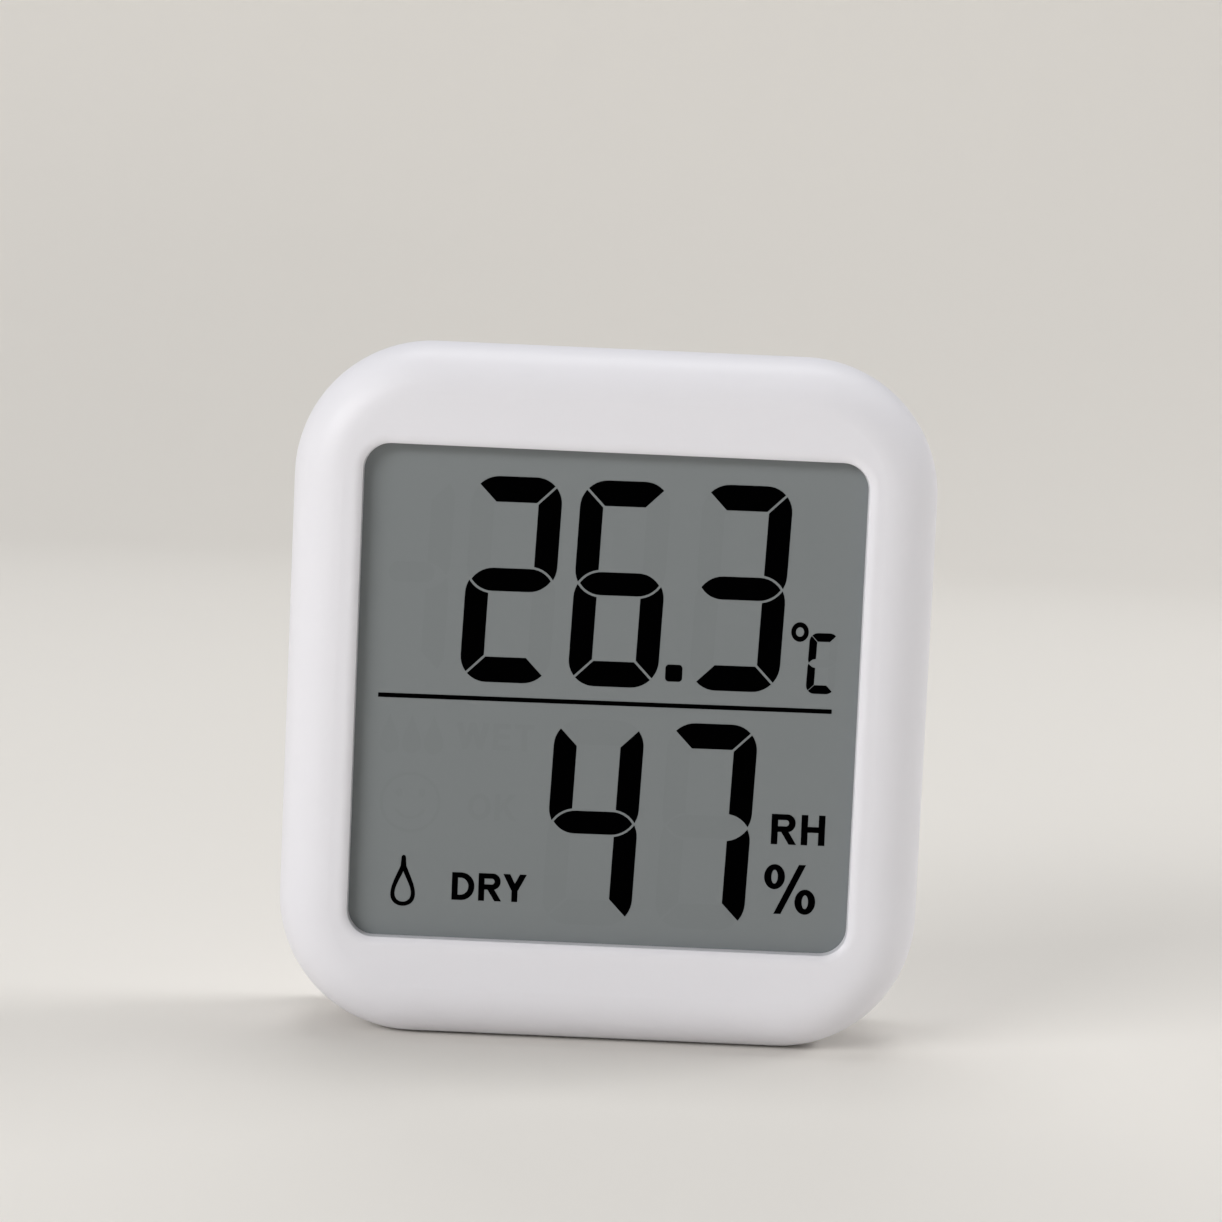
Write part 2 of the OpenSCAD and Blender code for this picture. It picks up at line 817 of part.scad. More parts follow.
module battery_spring() {
    turns = 3.5;
    steps = 84;
    sides = 8;
    end_gap = 0.02;
    length = spring_l - 2 * (spring_wire_r + end_gap);
    function radius(t) = spring_r - spring_taper * t;
    function angle(t) = 360 * turns * t;
    ring = [for (i = [0 : steps], k = [0 : sides - 1])
        let (t = i / steps, a = angle(t), c = 360 * k / sides,
             rho = radius(t) + spring_wire_r * cos(c))
        [t * length + spring_wire_r * sin(c), rho * cos(a), rho * sin(a)]];
    skin = [for (i = [0 : steps - 1], k = [0 : sides - 1])
        let (n = (k + 1) % sides)
        [i * sides + k, i * sides + n, (i + 1) * sides + n, (i + 1) * sides + k]];
    cap_a = [for (k = [sides - 1 : -1 : 0]) k];
    cap_b = [for (k = [0 : sides - 1]) steps * sides + k];
    color(steel)
        translate([minus_x + spring_wire_r + end_gap, cell_y, cell_z])
            polyhedron(ring, concat(skin, [cap_a, cap_b]), convexity = 8);
}

// Lead from a solder tail down to the board
module lead(x) {
    bend_y = tail_y - 1;
    translate([x, bend_y, tail_z])
        rotate([-90, 0, 0])
            cylinder(r = lead_r, h = tail_y - bend_y);
    translate([x, bend_y, tail_z + lead_bend])
        rotate([0, 90, 0])
            rotate([0, 0, -90])
                rotate_extrude(angle = 90)
                    translate([lead_bend, 0])
                        circle(lead_r);
}

module positive_lead() {
    color([0.75, 0.1, 0.1])
        lead(lead_x);
}

module negative_lead() {
    color([0.1, 0.1, 0.1])
        lead(-lead_x);
}

module battery_door() {
    slit = 0.8;
    groove = 0.6;
    groove_depth = 0.4;
    groove_pitch = 0.28 * latch_l;
    color(case_white)
        difference() {
            union() {
                translate([0, 0, door_sink])
                    linear_extrude(door_t)
                        door_plan(0);
                for (sx = [-1, 1])
                    translate([sx * tab_x - tab_w / 2, door_y0, 0]) {
                        box([0, 0, door_z1 - join_in], [tab_w, bay_wall, tab_z + tab_t]);
                        box([0, -tab_l, tab_z], [tab_w, bay_wall, tab_z + tab_t]);
                    }
            }
            for (sx = [-1, 1])
                translate([sx * latch_w / 2 - slit / 2, door_y1 - latch_l, -cut_past])
                    cube([slit, latch_l + cut_past, door_z1 + 2 * cut_past]);
            for (i = [1 : 3])
                translate([-latch_w / 3, door_y1 - groove_pitch * i - groove, -cut_past])
                    cube([latch_w / 1.5, groove, cut_past + door_sink + groove_depth]);
        }
}

module stand() {
    panel_depth = 0.4;
    panel_y0 = stand_tip + notch_r + panel_edge / 2;
    panel_y1 = hinge_y - barrel_r - panel_edge / 2;
    color(case_white)
        difference() {
            union() {
                intersection() {
                    translate([0, 0, hinge_z])
                        rotate([90, 0, 90])
                            linear_extrude(stand_w, center = true) {
                                translate([stand_tip + barrel_r, -barrel_r])
                                    square([hinge_y - stand_tip - barrel_r, stand_t]);
                                translate([hinge_y, 0])
                                    circle(barrel_r);
                                translate([stand_tip + barrel_r, 0])
                                    circle(barrel_r);
                            }
                    linear_extrude(tub_z)
                        stand_plan(0);
                }
                translate([0, hinge_y, hinge_z])
                    rotate([0, 90, 0])
                        cylinder(r = trunnion_r, h = 2 * (tub_x + trunnion_l - trunnion_end), center = true);
            }
            translate([0, stand_tip - notch_out, 0])
                post(notch_r, -cut_past, tub_z + cut_past);
            translate([0, (panel_y0 + panel_y1) / 2, -cut_past])
                linear_extrude(cut_past + stand_sink + panel_depth)
                    rounded_rect(stand_w - 2 * panel_edge, panel_y1 - panel_y0, panel_r);
        }
}

// Screw along z with a cross recess in its head
module cross_screw(r, head_r, head_h, length, seat) {
    cross_w = 0.5 * r;
    cross_depth = 0.5 * head_h;
    difference() {
        union() {
            post(head_r, seat - head_h, seat);
            post(r, seat - join_in, seat + length);
        }
        for (a = [0, 90])
            translate([0, 0, seat - head_h])
                rotate([0, 0, a])
                    cube([2 * r, cross_w, 2 * cross_depth], center = true);
    }
}

module case_screws() {
    color(steel)
        at_case_screws()
            cross_screw(screw_r, screw_head_r, screw_head_h, screw_l, screw_seat_z);
}

module board_screws() {
    color(steel)
        at_board_screws()
            cross_screw(board_screw_r, board_head_r, board_head_h, board_screw_l, board_z0);
}

upright() front_shell();
upright() rear_shell();
upright() lcd_front_film();
upright() lcd_front_glass();
upright() lcd_rear_glass();
upright() lcd_reflector();
upright() zebra_strip();
upright() foam_pads();
upright() main_board();
upright() chip_blob();
upright() crystal();
upright() capacitor();
upright() smd_parts();
upright() humidity_sensor();
upright() thermistor();
upright() unit_switch();
upright() switch_stem();
upright() unit_button();
upright() battery();
upright() positive_contact();
upright() negative_contact();
upright() battery_spring();
upright() positive_lead();
upright() negative_lead();
upright() battery_door();
upright() stand();
upright() case_screws();
upright() board_screws();
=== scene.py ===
# %% [markdown]
# # A desk thermometer and hygrometer
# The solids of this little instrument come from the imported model: two white shells, the display stack, the
# board, the cell with its door, and the fold-out leg. This lesson dresses them. It gives each piece the
# finish of its real material, draws the readout on the display, and sets up a small studio.

# %% Load the solids
import math

import bmesh
import bpy
from mathutils import Euler, Matrix, Vector


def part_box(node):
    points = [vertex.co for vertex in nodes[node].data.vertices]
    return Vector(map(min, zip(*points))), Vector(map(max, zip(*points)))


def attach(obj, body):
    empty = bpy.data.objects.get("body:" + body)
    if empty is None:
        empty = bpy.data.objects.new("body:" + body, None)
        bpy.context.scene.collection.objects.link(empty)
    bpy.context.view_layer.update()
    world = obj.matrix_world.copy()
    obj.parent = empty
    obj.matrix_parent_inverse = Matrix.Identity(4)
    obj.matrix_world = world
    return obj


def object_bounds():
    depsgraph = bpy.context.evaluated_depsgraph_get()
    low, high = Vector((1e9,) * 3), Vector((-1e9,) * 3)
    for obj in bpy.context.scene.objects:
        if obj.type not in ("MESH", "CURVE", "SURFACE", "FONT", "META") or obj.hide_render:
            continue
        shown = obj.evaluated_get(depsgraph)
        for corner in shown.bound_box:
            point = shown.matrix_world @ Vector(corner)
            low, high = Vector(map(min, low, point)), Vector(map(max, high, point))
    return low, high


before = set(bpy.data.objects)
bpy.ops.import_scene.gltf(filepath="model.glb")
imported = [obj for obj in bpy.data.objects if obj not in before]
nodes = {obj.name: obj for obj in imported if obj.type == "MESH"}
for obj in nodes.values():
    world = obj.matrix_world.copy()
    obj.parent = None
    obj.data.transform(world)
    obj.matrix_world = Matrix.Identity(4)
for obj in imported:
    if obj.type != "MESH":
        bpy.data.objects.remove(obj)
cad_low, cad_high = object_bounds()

MM = 0.001
print("solids:", len(nodes), "box in mm:", [round(1000 * s, 2) for s in cad_high - cad_low])

# %% [markdown]
# ## The camera
# The picture was taken from close by, a little above the middle of the case, with the camera rolled by two
# and a half degrees. A camera could follow an empty with a Track To constraint, but then it couldn't roll.
# A fixed place and three angles keep the view exact.

# %% Set the camera
CAMERA_PLACE = Vector((-0.96, -261.78, 60.55)) * MM
CAMERA_ANGLES = (85.546, -2.542, -0.022)
CAMERA_FIELD = 25.0
CAMERA_NEAR = 0.01

scene = bpy.context.scene
camera_data = bpy.data.cameras.new("camera")
camera_data.sensor_fit = "HORIZONTAL"
camera_data.angle = math.radians(CAMERA_FIELD)
camera_data.clip_start = CAMERA_NEAR
camera = bpy.data.objects.new("camera", camera_data)
scene.collection.objects.link(camera)
camera.location = CAMERA_PLACE
camera.rotation_euler = Euler([math.radians(a) for a in CAMERA_ANGLES])
scene.camera = camera
print("camera stands", round(-CAMERA_PLACE.y / MM), "mm in front")

# %% [markdown]
# ## Finishes as sums
# A finish is a small network of shader nodes. Drawn by hand it is a web of wires. Here a wire is a Python
# value, so that a sum such as `0.4 + 0.1 * grain` adds its Math nodes by itself, and reads like what it
# does.

# %% A wire that can be used in sums


class Wire:
    """The output of one shader node."""

    def __init__(self, finish, socket):
        self.finish = finish
        self.socket = socket

    def maths(self, operation, left, right):
        """A Math node on two wires or numbers."""
        return self.finish.node("ShaderNodeMath", {"operation": operation}, {0: left, 1: right})

    def __add__(self, other):
        return self.maths("ADD", self, other)

    def __radd__(self, other):
        return self.maths("ADD", other, self)

    def __sub__(self, other):
        return self.maths("SUBTRACT", self, other)

    def __rsub__(self, other):
        return self.maths("SUBTRACT", other, self)

    def __mul__(self, other):
        return self.maths("MULTIPLY", self, other)

    def __rmul__(self, other):
        return self.maths("MULTIPLY", other, self)

    def __gt__(self, other):
        return self.maths("GREATER_THAN", self, other)

    def __lt__(self, other):
        return self.maths("LESS_THAN", self, other)

    def __mod__(self, other):
        return self.maths("FLOORED_MODULO", self, other)

    def __abs__(self):
        return self.maths("ABSOLUTE", self, 0.0)


# %% A finish and its nodes
GRAIN_DETAIL = 2.0
BUMP_STRENGTH = 0.5
BEVEL_SAMPLES = 6


class Finish:
    """A material with one main shader, and the nodes that feed it."""

    def __init__(self, name, **constants):
        self.material = bpy.data.materials.new(name)
        self.material.use_nodes = True
        self.tree = self.material.node_tree
        self.tree.nodes.clear()
        out = self.tree.nodes.new("ShaderNodeOutputMaterial")
        self.shader = self.tree.nodes.new("ShaderNodeBsdfPrincipled")
        self.tree.links.new(self.shader.outputs[0], out.inputs["Surface"])
        self.place = self.node("ShaderNodeTexCoord", {}, {}, "Object")
        for word, value in constants.items():
            self.feed(word.replace("_", " ").title().replace("Ior", "IOR"), value)

    def node(self, kind, settings, sockets, output=0):
        """Any node: its type, its settings, the values or wires of its sockets, and which output to use."""
        made = self.tree.nodes.new(kind)
        for word, value in settings.items():
            setattr(made, word, value)
        for word, value in sockets.items():
            self.plug(made.inputs[word], value)
        return Wire(self, made.outputs[output])

    def plug(self, socket, value):
        """Link a wire to a socket, or set the socket's own value."""
        if isinstance(value, Wire):
            self.tree.links.new(value.socket, socket)
        elif socket.type == "RGBA" and len(value) == 3:
            socket.default_value = (*value, 1.0)
        else:
            socket.default_value = value

    def feed(self, word, value):
        """Set or link one socket of the main shader."""
        self.plug(self.shader.inputs[word], value)

    def grain(self, size):
        """Cloudy values from 0 to 1, with clouds of about that size in metres."""
        sockets = {"Vector": self.place, "Scale": 1.0 / size, "Detail": GRAIN_DETAIL}
        return self.node("ShaderNodeTexNoise", {}, sockets)

    def axis(self, letter):
        """The place along one axis, in metres."""
        return self.node("ShaderNodeSeparateXYZ", {}, {0: self.place}, letter)

    def blend(self, share, first, second):
        """One colour that goes over into another."""
        return self.node("ShaderNodeMix", {"data_type": "RGBA"}, {0: share, 6: first, 7: second}, 2)

    def relief(self, height, depth, edge=0.0):
        """A bump of that depth in metres, and sharp edges softened by a small radius."""
        sockets = {"Height": height, "Distance": depth, "Strength": BUMP_STRENGTH}
        if edge:
            soft = self.node("ShaderNodeBevel", {"samples": BEVEL_SAMPLES}, {"Radius": edge})
            sockets["Normal"] = soft
        self.feed("Normal", self.node("ShaderNodeBump", {}, sockets))


def shade(colour, share):
    """The same colour, lighter or darker by a share."""
    return tuple(c * share for c in colour)


def between(wire, low, high):
    """1 between two values, and 0 elsewhere."""
    return (wire > low) * (wire < high)


def dress(finish, *names):
    """Give solids their finish."""
    for name in names:
        mesh = nodes[name].data
        mesh.materials.clear()
        mesh.materials.append(finish.material)
    print(finish.material.name, "on", ", ".join(names))


# %% [markdown]
# ## Moulded plastic
# The shells are white ABS from a mould whose steel was eroded to a fine matt. Flat white would look like
# paper, so three things vary: the tone in soft clouds, the gloss in fine grain, and the height of the
# grain. A moulded edge is never quite sharp either. A Bevel node softens the edges for the light alone.

# %% White shells
CLOUD_SIZE = 14 * MM


def moulded(name, colour, roughness, grain_size, grain_depth, clouds, edge=0.0):
    """Plastic with the fine grain of an eroded mould."""
    finish = Finish(name, specular_ior_level=0.4)
    fine = finish.grain(grain_size)
    broad = finish.grain(CLOUD_SIZE)
    finish.feed("Base Color", finish.blend(broad, shade(colour, 1 - clouds), shade(colour, 1 + clouds)))
    finish.feed("Roughness", roughness - 0.06 + 0.12 * fine)
    finish.relief(fine, grain_depth, edge)
    return finish


CASE_WHITE = (0.812, 0.806, 0.85)
case_white = moulded("case_white", CASE_WHITE, 0.42, 0.35 * MM, 0.006 * MM, 0.012, 0.15 * MM)
dress(case_white, "front_shell", "rear_shell", "battery_door", "stand")

# %% [markdown]
# ## Display film
# What shows in the window is the front polariser of the display, a grey film with an anti-glare coat. Under
# it lie two panes of glass and a foil. The film takes a fine sparkle from its coat and no strong gloss.

# %% The display stack
FILM_GREY = (0.205, 0.222, 0.228)
film = Finish("film_grey", specular_ior_level=0.2)
sparkle = film.grain(0.12 * MM)
film.feed("Base Color", film.blend(sparkle, shade(FILM_GREY, 0.985), shade(FILM_GREY, 1.015)))
film.feed("Roughness", 0.5 + 0.1 * sparkle)
film.relief(sparkle, 0.002 * MM)
dress(film, "lcd_front_film")

pane = Finish("glass_pane", ior=1.5, transmission_weight=0.85)
pane.feed("Base Color", pane.blend(pane.grain(6 * MM), (0.80, 0.92, 0.88), (0.86, 0.95, 0.92)))
pane.feed("Roughness", 0.03 + 0.03 * pane.grain(2 * MM))
dress(pane, "lcd_front_glass", "lcd_rear_glass")

foil = Finish("reflector_foil", metallic=0.8)
foil.feed("Base Color", foil.blend(foil.grain(0.3 * MM), (0.52, 0.53, 0.53), (0.62, 0.63, 0.63)))
foil.feed("Roughness", 0.35 + 0.2 * foil.grain(0.5 * MM))
dress(foil, "lcd_reflector")

# %% [markdown]
# ## Inside the case
# These pieces show when the cell door is open, and a little through the slots. Each has its own finish,
# since the part may be opened or cut in another scene. Most are dark plastics that differ in gloss and in
# grain.

# %% Rubber, foam and dark plastics
ZEBRA_PITCH = 0.4 * MM
zebra = Finish("zebra_rubber", specular_ior_level=0.2)
stripe = (zebra.axis("X") % ZEBRA_PITCH) < 0.5 * ZEBRA_PITCH
zebra.feed("Base Color", zebra.blend(stripe, (0.30, 0.22, 0.18), (0.012, 0.012, 0.012)))
zebra.feed("Roughness", 0.62 + 0.1 * zebra.grain(0.3 * MM))
dress(zebra, "zebra_strip")

# Each row: finish, colour, roughness, size and depth of the grain in mm, clouds, soft edge in mm, solid.
MOULDED_PIECES = [
    ("foam_black", (0.022, 0.022, 0.024), 0.9, 0.4, 0.15, 0.2, 0.0, "foam_pads"),
    ("resin_black", (0.013, 0.013, 0.014), 0.22, 1.4, 0.02, 0.2, 0.0, "chip_blob"),
    ("switch_black", (0.02, 0.02, 0.022), 0.45, 0.3, 0.01, 0.1, 0.0, "unit_switch"),
    ("stem_black", (0.024, 0.024, 0.026), 0.4, 0.3, 0.01, 0.1, 0.0, "switch_stem"),
    ("button_grey", (0.43, 0.44, 0.45), 0.42, 0.3, 0.01, 0.03, 0.12, "unit_button"),
    ("sensor_white", (0.70, 0.71, 0.68), 0.4, 0.3, 0.008, 0.04, 0.0, "humidity_sensor"),
    ("lead_red", (0.42, 0.018, 0.015), 0.38, 0.5, 0.008, 0.08, 0.0, "positive_lead"),
    ("lead_black", (0.014, 0.014, 0.015), 0.38, 0.5, 0.008, 0.2, 0.0, "negative_lead"),
]
for name, colour, roughness, size, depth, clouds, edge, solid in MOULDED_PIECES:
    dress(moulded(name, colour, roughness, size * MM, depth * MM, clouds, edge * MM), solid)

# %% [markdown]
# ## Metals
# Contacts, springs and screws were drawn, pressed or rolled, which leaves fine streaks along one direction.
# Noise that is stretched along that axis gives the streaks, in the gloss and in the height.

# %% Contacts, spring, crystal can and screws
STREAK_SCALE = 4000.0
STREAK_DETAIL = 3.0


def worked_metal(name, colour, roughness, streak):
    """Metal with the fine streaks that drawing or pressing leaves along one axis."""
    finish = Finish(name, metallic=1.0)
    stretch = finish.node("ShaderNodeMapping", {}, {"Vector": finish.place, "Scale": streak})
    sockets = {"Vector": stretch, "Scale": STREAK_SCALE, "Detail": STREAK_DETAIL}
    lines = finish.node("ShaderNodeTexNoise", {}, sockets)
    cloud = finish.grain(3 * MM)
    finish.feed("Base Color", finish.blend(cloud, shade(colour, 0.9), shade(colour, 1.05)))
    finish.feed("Roughness", roughness - 0.08 + 0.16 * lines)
    finish.relief(lines, 0.004 * MM)
    return finish


contact_nickel = worked_metal("contact_nickel", (0.66, 0.63, 0.57), 0.26, (1.0, 1.0, 0.08))
dress(contact_nickel, "positive_contact", "negative_contact")
dress(worked_metal("spring_steel", (0.60, 0.60, 0.59), 0.24, (0.2, 1.0, 1.0)), "battery_spring")
dress(worked_metal("can_steel", (0.62, 0.62, 0.60), 0.2, (0.1, 1.0, 1.0)), "crystal")
dress(worked_metal("screw_steel", (0.50, 0.50, 0.49), 0.3, (1.0, 0.3, 1.0)), "case_screws", "board_screws")

# %% [markdown]
# ## Pieces of two materials
# Some solids are one piece to the model, and two materials to the eye: a bead on bare wires, or a chip with
# tinned ends. They could be split into two meshes. A mask along one axis is enough, and it turns metal on
# and off together with the colour.

# %% Bead, chips and capacitor
TINNED = (0.63, 0.62, 0.60)


def part_metal(name, solid, letter, low, high, colour):
    """Plastic between two places along an axis, and bare metal beyond them."""
    finish = Finish(name, specular_ior_level=0.4)
    covered = between(finish.axis(letter), low, high)
    cloud = finish.grain(1.2 * MM)
    skin = finish.blend(cloud, shade(colour, 0.85), shade(colour, 1.15))
    finish.feed("Base Color", finish.blend(covered, TINNED, skin))
    finish.feed("Metallic", 1 - covered)
    finish.feed("Roughness", 0.3 + 0.12 * finish.grain(0.3 * MM))
    dress(finish, solid)


BEAD_DEPTH = 2.2 * MM
CHIP_END = 0.35 * MM
CAN_TOP = 0.35 * MM
FAR = 1.0
BEAD_BLACK = (0.016, 0.016, 0.018)
CHIP_DARK = (0.05, 0.045, 0.04)
SLEEVE_BLUE = (0.015, 0.022, 0.05)
bead_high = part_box("thermistor")[1]
part_metal("bead_black", "thermistor", "Y", bead_high.y - BEAD_DEPTH, FAR, BEAD_BLACK)
chip_low, chip_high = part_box("smd_parts")
part_metal("chip_dark", "smd_parts", "Z", chip_low.z + CHIP_END, chip_high.z - CHIP_END, CHIP_DARK)
can_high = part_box("capacitor")[1]
part_metal("sleeve_dark", "capacitor", "Y", -FAR, can_high.y - CAN_TOP, SLEEVE_BLUE)

# %% [markdown]
# ## Board and cell
# The board is glass fibre under green lacquer, and its copper tracks show as paler lines that stand up a
# little. They could be drawn one by one, but a row of stripes that wanders is enough for what shows through
# the slots. The cell wears a printed sleeve, dark with a pale band and a plus sign at one end, and its
# steel is bare at both ends. All of this follows from the place along the cell, so that a few masks make
# it.

# %% Board
TRACK_PITCH = 1.27 * MM
TRACK_WIDTH = 0.45 * MM
TRACK_WANDER = 1.5 * MM
board = Finish("board_green", specular_ior_level=0.5)
across = (board.axis("X") + TRACK_WANDER * board.grain(9 * MM)) % TRACK_PITCH
track = across < TRACK_WIDTH
board.feed("Base Color", board.blend(track, (0.012, 0.085, 0.035), (0.022, 0.135, 0.055)))
board.feed("Roughness", 0.3 + 0.1 * board.grain(0.6 * MM))
board.relief(track, 0.03 * MM)
dress(board, "main_board")

# %% Cell
SLEEVE_DARK = (0.045, 0.055, 0.065)
SLEEVE_PALE = (0.33, 0.38, 0.36)
CELL_STEEL = (0.62, 0.61, 0.58)
BARE_FOOT = 0.6 * MM
BARE_HEAD = 1.6 * MM
BAND_WIDTH = 12.0 * MM
CELL_RIM_FAR = 13.2 * MM
CELL_RIM_NEAR = 12.6 * MM
PLUS_PLACE = 6.5 * MM
PLUS_ARM = 1.5 * MM
PLUS_HALF = 0.32 * MM
cell_low, cell_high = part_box("battery")
cell = Finish("cell_sleeve", specular_ior_level=0.5)
along = cell.axis("X")
covered = between(along, cell_low.x + BARE_FOOT, cell_high.x - BARE_HEAD)
band = along > cell_high.x - BAND_WIDTH
rim = between(along, cell_high.x - CELL_RIM_FAR, cell_high.x - CELL_RIM_NEAR)
from_plus_x = abs(along - (cell_high.x - PLUS_PLACE))
from_plus_z = abs(cell.axis("Z") - (cell_low.z + cell_high.z) / 2)
level = (from_plus_x < PLUS_ARM) * (from_plus_z < PLUS_HALF)
upright = (from_plus_x < PLUS_HALF) * (from_plus_z < PLUS_ARM)
plus = 1 - (1 - level) * (1 - upright)
pale = (band + rim) * (1 - plus)
sleeve = cell.blend(pale, SLEEVE_DARK, SLEEVE_PALE)
cell.feed("Base Color", cell.blend(covered, CELL_STEEL, sleeve))
cell.feed("Metallic", 1 - covered)
cell.feed("Roughness", 0.28 + 0.1 * cell.grain(1.5 * MM))
dress(cell, "battery")

# %% [markdown]
# ## Drawing the readout
# On the real display each segment is a shape etched in the clear coating of the glass, which turns black
# when it is driven. The shapes could be painted on the film by a shader, but cut shapes stay crisp at any
# distance. They are drawn flat here, in millimetres, as plates one millimetre thick. A plate is then
# pressed thin and stood up on the film.

# %% Tools for flat plates
PLATE = 1.0
CORNER_STEPS = 10
OVAL_STEPS = 48


def deselect():
    """Leave edit mode, with nothing selected."""
    if bpy.context.object and bpy.context.object.mode != "OBJECT":
        bpy.ops.object.mode_set(mode="OBJECT")
    bpy.ops.object.select_all(action="DESELECT")


def only(piece):
    """Select one piece and make it active."""
    deselect()
    piece.select_set(True)
    bpy.context.view_layer.objects.active = piece


def round_corners(piece, radius):
    """Bevel the upright edges of a plate."""
    only(piece)
    bpy.ops.object.mode_set(mode="EDIT")
    bpy.ops.mesh.select_mode(type="EDGE")
    bpy.ops.mesh.select_all(action="DESELECT")
    flesh = bmesh.from_edit_mesh(piece.data)
    for edge in flesh.edges:
        ends = edge.verts[0].co - edge.verts[1].co
        edge.select_set(abs(ends.z) > 0.5 * ends.length)
    bmesh.update_edit_mesh(piece.data)
    bpy.ops.mesh.bevel(offset=radius, segments=CORNER_STEPS, profile=0.5, affect="EDGES")
    bpy.ops.object.mode_set(mode="OBJECT")


def plate(left, right, low, high, radius=0.0, thick=PLATE):
    """A flat block, with round corners if a radius is given."""
    deselect()
    bpy.ops.mesh.primitive_cube_add(size=1.0, location=((left + right) / 2, (low + high) / 2, 0))
    piece = bpy.context.object
    piece.scale = (right - left, high - low, thick)
    bpy.ops.object.transform_apply(location=True, rotation=True, scale=True)
    if radius:
        round_corners(piece, radius)
    return piece


def oval(x, y, half_width, half_height, thick=PLATE):
    """A round or oval plate."""
    deselect()
    bpy.ops.mesh.primitive_cylinder_add(vertices=OVAL_STEPS, radius=1.0, depth=thick, location=(x, y, 0))
    piece = bpy.context.object
    piece.scale = (half_width, half_height, 1)
    bpy.ops.object.transform_apply(location=True, rotation=True, scale=True)
    return piece


# %% Tools that put plates together
CUT = 3 * PLATE


def shape(piece, tool, operation="DIFFERENCE"):
    """Cut a plate with another, unite them, or keep what they share. The tool is used up."""
    cut = piece.modifiers.new("cut", "BOOLEAN")
    cut.operation = operation
    cut.solver = "EXACT"
    cut.object = tool
    only(piece)
    bpy.ops.object.modifier_apply(modifier="cut")
    bpy.data.objects.remove(tool)
    return piece


def ring(x, y, half_width, half_height, side, end):
    """An oval ring, with the widths of its wall at the sides and at the ends."""
    hole = oval(x, y, half_width - side, half_height - end, CUT)
    return shape(oval(x, y, half_width, half_height), hole)


def join(pieces, name):
    """One piece from several."""
    deselect()
    for piece in pieces:
        piece.select_set(True)
    bpy.context.view_layer.objects.active = pieces[0]
    if len(pieces) > 1:
        bpy.ops.object.join()
    joined = bpy.context.object
    joined.name = name
    return joined


# %% [markdown]
# ## One figure eight
# Every digit is the same figure of seven segments. Its upper and its lower loop are two plates with round
# corners that overlap in the middle, and the eye-shaped overlap is the middle segment. So one loop is cut
# at its corners and round the eye, and the lower half is its mirror image.


# %% Cut the seven segments
def eye(width, half, bar, round_off, grow):
    """The overlap of the upper and the lower loop, grown or shrunk by a little."""
    side = width / 2 + grow
    reach = half + grow
    upper = plate(-side, side, -bar / 2 - grow, reach, round_off + grow)
    lower = plate(-side, side, -reach, bar / 2 + grow, round_off + grow, CUT)
    return shape(upper, lower, "INTERSECT")


def upper_loop(width, height, bar, post, round_off, gap):
    """The upper loop of a figure eight, cut into a bar and two posts."""
    half = height / 2
    loop = plate(-width / 2, width / 2, -bar / 2, half, round_off)
    shape(loop, plate(post - width / 2, width / 2 - post, bar / 2, half - bar, 0.0, CUT))
    cutter = eye(width, half, bar, round_off, gap / 2)
    cutter.data.transform(Matrix.Diagonal((1, 1, CUT, 1)))
    shape(loop, cutter)
    for side in (-1, 1):
        slit = plate(-2 * bar, 2 * bar, -gap / 2, gap / 2, 0.0, CUT)
        corner = Matrix.Translation((side * (width / 2 - post), half - bar, 0))
        slit.data.transform(corner @ Matrix.Rotation(side * math.radians(45), 4, "Z"))
        shape(loop, slit)
    only(loop)
    bpy.ops.object.mode_set(mode="EDIT")
    bpy.ops.mesh.separate(type="LOOSE")
    bpy.ops.object.mode_set(mode="OBJECT")
    return list(bpy.context.selected_objects)


def figure_eight(width, height, bar, post, round_off, gap):
    """Seven segments by letter, a at the top, then clockwise to f, and g in the middle."""
    segments = {"g": eye(width, height / 2, bar, round_off, -gap / 2)}
    for part in upper_loop(width, height, bar, post, round_off, gap):
        middle = sum((v.co for v in part.data.vertices), Vector()) / len(part.data.vertices)
        if abs(middle.x) < width / 8:
            upper, lower = "a", "d"
        else:
            upper, lower = ("b", "c") if middle.x > 0 else ("f", "e")
        only(part)
        bpy.ops.object.duplicate()
        twin = bpy.context.object
        twin.data.transform(Matrix.Diagonal((1, -1, 1, 1)))
        twin.data.flip_normals()
        segments[upper] = part
        segments[lower] = twin
    print("segments:", "".join(sorted(segments)))
    return segments


# %% Stand plates up on the film
FILM_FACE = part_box("lcd_front_film")[0].y
INK = 0.02
TRACE = 0.008
PROUD = 0.4
LEAN = 2.1
PRINT_TURN = 0.35


def slanted(slope, shift=0.0):
    """A matrix that slants a plate to the right as it goes up."""
    return Matrix(((1, slope, 0, shift), (0, 1, 0, 0), (0, 0, 1, 0), (0, 0, 0, 1)))


def stand_up(piece, x, z, thickness, lean=0.0):
    """Press a plate thin and stand it on the film, with its middle at x and z in millimetres."""
    thin = Matrix.Diagonal((MM, MM, thickness * MM, 1))
    upright = Matrix.Rotation(math.radians(90), 4, "X")
    turned = Matrix.Rotation(-math.radians(PRINT_TURN), 4, "Y")
    there = Matrix.Translation((x * MM, FILM_FACE - PROUD * thickness * MM, z * MM))
    piece.data.transform(there @ turned @ upright @ thin @ slanted(math.tan(math.radians(lean))))
    return piece


# %% [markdown]
# ## The two readings
# The temperature stands above and the humidity below. The same segments are copied to each place. Those
# that the figure needs become black, and the others are kept for the faint marks of segments that are off.

